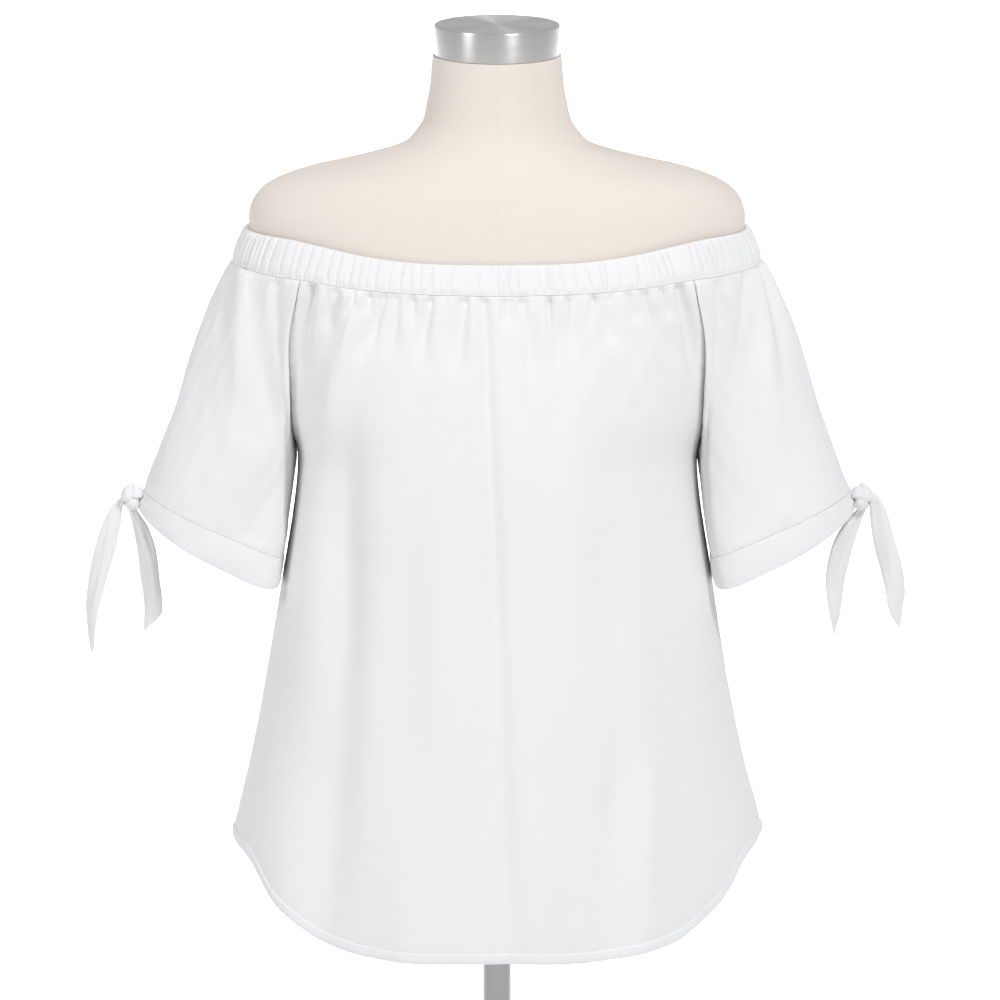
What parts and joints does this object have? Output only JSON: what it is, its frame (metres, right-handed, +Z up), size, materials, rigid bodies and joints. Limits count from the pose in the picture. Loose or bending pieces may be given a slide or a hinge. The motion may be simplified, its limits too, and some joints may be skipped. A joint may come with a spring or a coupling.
{
  "type": "off-shoulder top on a dress form",
  "caption": "White off-shoulder top with a gathered elastic neck, raglan tie-cuff sleeves and a curved hem, filled out on a cream limbless dress form with a steel pole and base.",
  "frame": {"origin": "on the floor, under the middle of the stand's base", "axes": "+Z up along the pole, -Y towards the front of the top, +X to the right as seen from the front"},
  "size_m": [0.6892, 0.34, 1.4],
  "materials": {
    "white_cotton": "matt, fine plain weave",
    "cream_jersey": "matt knitted cover",
    "brushed_steel": "brushed"
  },
  "bodies": {
    "root": {"neck_casing": "white_cotton", "top_front": "white_cotton", "top_back": "white_cotton", "sleeve_left": "white_cotton", "sleeve_right": "white_cotton", "cuff_left": "white_cotton", "cuff_right": "white_cotton", "knot_left": "white_cotton", "knot_right": "white_cotton", "tie_left_outer": "white_cotton", "tie_left_inner": "white_cotton", "tie_right_outer": "white_cotton", "tie_right_inner": "white_cotton", "form_torso": "cream_jersey", "neck_cap": "brushed_steel", "stand_pole": "brushed_steel", "stand_base": "brushed_steel"}
  },
  "joints": []
}
